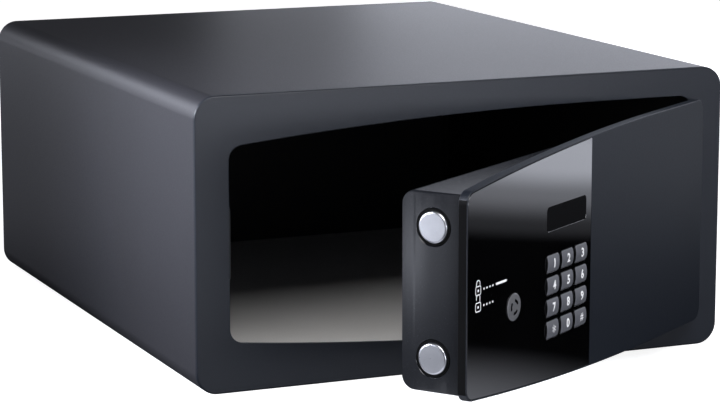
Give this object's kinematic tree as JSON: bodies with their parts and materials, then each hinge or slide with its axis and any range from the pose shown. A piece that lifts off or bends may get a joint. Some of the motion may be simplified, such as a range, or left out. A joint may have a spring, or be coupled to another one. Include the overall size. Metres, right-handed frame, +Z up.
{
  "type": "electronic laptop safe",
  "caption": "Low steel safe with rounded case, flush arched door open on gooseneck hinges, keypad, display, emergency lock and twin motor bolts.",
  "frame": {"origin": "middle of the underside of the case", "axes": "+X right seen from the front, +Y into the case, +Z up"},
  "size_m": [0.395, 0.6684, 0.2],
  "materials": {
    "case_paint": "satin graphite powder coat",
    "front_paint": "matt dark blue-grey fine-texture powder coat",
    "housing_paint": "satin dark grey paint",
    "gloss_panel": "high-gloss black",
    "display_lens": "smoked, opaque when off",
    "bolt_steel": "satin",
    "lock_metal": "satin grey",
    "zinc_steel": "zinc plated",
    "key_grey": "satin grey moulded",
    "black_plastic": "satin moulded",
    "silicone": "matt",
    "board": "solder mask",
    "felt": "needle felt",
    "nylon": "natural",
    "cell_jacket": "printed sleeve, plain"
  },
  "bodies": {
    "cabinet": {"case_shell": "case_paint", "front_frame": "front_paint", "back_panel": "case_paint", "floor_mat": "felt", "strike_plate": "case_paint", "hinge_bracket_upper": "zinc_steel", "hinge_bracket_lower": "zinc_steel", "hinge_pin_upper": "zinc_steel", "hinge_pin_lower": "zinc_steel", "hinge_washer_upper": "nylon", "hinge_washer_lower": "nylon", "base_anchor_plug_1": "black_plastic", "base_anchor_plug_2": "black_plastic", "back_anchor_plug_1": "black_plastic", "back_anchor_plug_2": "black_plastic"},
    "door": {"door_plate": "front_paint", "control_panel": "gloss_panel", "display_window": "display_lens", "display_module": "black_plastic", "keypad_mat": "silicone", "circuit_board": "board", "door_housing": "housing_paint", "housing_screw_1": "zinc_steel", "housing_screw_2": "zinc_steel", "housing_screw_3": "zinc_steel", "housing_screw_4": "zinc_steel", "hinge_arm_upper": "zinc_steel", "hinge_arm_lower": "zinc_steel", "bolt_bush_upper": "black_plastic", "bolt_bush_lower": "black_plastic", "motor_bracket": "zinc_steel", "gear_motor": "black_plastic", "lock_barrel": "zinc_steel", "lock_nut": "zinc_steel", "battery_holder": "black_plastic", "battery_1": "cell_jacket", "battery_2": "cell_jacket", "battery_3": "cell_jacket", "battery_4": "cell_jacket", "cover_guide": "black_plastic"},
    "bolts": {"bolt_upper": "bolt_steel", "bolt_lower": "bolt_steel", "bolt_carriage": "zinc_steel"},
    "pinion": {"drive_pinion": "zinc_steel"},
    "emergency_lock": {"lock_plug": "lock_metal", "lock_cam": "zinc_steel"},
    "cover": {"battery_cover": "black_plastic"},
    "key_1_button": {"key_1": "key_grey"},
    "key_2_button": {"key_2": "key_grey"},
    "key_3_button": {"key_3": "key_grey"},
    "key_4_button": {"key_4": "key_grey"},
    "key_5_button": {"key_5": "key_grey"},
    "key_6_button": {"key_6": "key_grey"},
    "key_7_button": {"key_7": "key_grey"},
    "key_8_button": {"key_8": "key_grey"},
    "key_9_button": {"key_9": "key_grey"},
    "key_star_button": {"key_star": "key_grey"},
    "key_0_button": {"key_0": "key_grey"},
    "key_hash_button": {"key_hash": "key_grey"}
  },
  "joints": [
    {"name": "door_swing", "type": "hinge", "parent": "cabinet", "child": "door", "pos_m": [0.188, -0.223, 0.1], "axis": [0, 0, 1], "range_deg": [-35.7, 54.3]},
    {"name": "bolts_slide", "type": "slide", "parent": "door", "child": "bolts", "axis": [-0.8121, -0.5835, 0], "range_m": [0, 0.015]},
    {"name": "pinion_spin", "type": "hinge", "parent": "door", "child": "pinion", "pos_m": [-0.05012, -0.37145, 0.093], "axis": [0.5835, -0.8121, 0], "range_deg": [0, 123]},
    {"name": "emergency_lock_turn", "type": "hinge", "parent": "door", "child": "emergency_lock", "pos_m": [-0.05121, -0.40351, 0.0837], "axis": [-0.5835, 0.8121, 0], "range_deg": [0, 90]},
    {"name": "battery_cover_slide", "type": "slide", "parent": "door", "child": "cover", "axis": [-0.8121, -0.5835, 0], "range_m": [0, 0.06]},
    {"name": "key_1_press", "type": "slide", "parent": "door", "child": "key_1_button", "axis": [-0.5835, 0.8121, 0], "range_m": [0, 0.001], "stiffness_N_per_m": 300, "springref_m": -0.0005},
    {"name": "key_2_press", "type": "slide", "parent": "door", "child": "key_2_button", "axis": [-0.5835, 0.8121, 0], "range_m": [0, 0.001], "stiffness_N_per_m": 300, "springref_m": -0.0005},
    {"name": "key_3_press", "type": "slide", "parent": "door", "child": "key_3_button", "axis": [-0.5835, 0.8121, 0], "range_m": [0, 0.001], "stiffness_N_per_m": 300, "springref_m": -0.0005},
    {"name": "key_4_press", "type": "slide", "parent": "door", "child": "key_4_button", "axis": [-0.5835, 0.8121, 0], "range_m": [0, 0.001], "stiffness_N_per_m": 300, "springref_m": -0.0005},
    {"name": "key_5_press", "type": "slide", "parent": "door", "child": "key_5_button", "axis": [-0.5835, 0.8121, 0], "range_m": [0, 0.001], "stiffness_N_per_m": 300, "springref_m": -0.0005},
    {"name": "key_6_press", "type": "slide", "parent": "door", "child": "key_6_button", "axis": [-0.5835, 0.8121, 0], "range_m": [0, 0.001], "stiffness_N_per_m": 300, "springref_m": -0.0005},
    {"name": "key_7_press", "type": "slide", "parent": "door", "child": "key_7_button", "axis": [-0.5835, 0.8121, 0], "range_m": [0, 0.001], "stiffness_N_per_m": 300, "springref_m": -0.0005},
    {"name": "key_8_press", "type": "slide", "parent": "door", "child": "key_8_button", "axis": [-0.5835, 0.8121, 0], "range_m": [0, 0.001], "stiffness_N_per_m": 300, "springref_m": -0.0005},
    {"name": "key_9_press", "type": "slide", "parent": "door", "child": "key_9_button", "axis": [-0.5835, 0.8121, 0], "range_m": [0, 0.001], "stiffness_N_per_m": 300, "springref_m": -0.0005},
    {"name": "key_star_press", "type": "slide", "parent": "door", "child": "key_star_button", "axis": [-0.5835, 0.8121, 0], "range_m": [0, 0.001], "stiffness_N_per_m": 300, "springref_m": -0.0005},
    {"name": "key_0_press", "type": "slide", "parent": "door", "child": "key_0_button", "axis": [-0.5835, 0.8121, 0], "range_m": [0, 0.001], "stiffness_N_per_m": 300, "springref_m": -0.0005},
    {"name": "key_hash_press", "type": "slide", "parent": "door", "child": "key_hash_button", "axis": [-0.5835, 0.8121, 0], "range_m": [0, 0.001], "stiffness_N_per_m": 300, "springref_m": -0.0005}
  ],
  "couplings": [
    {"joint": "pinion_spin", "follows": "bolts_slide", "rad_per_m": 142.86}
  ]
}
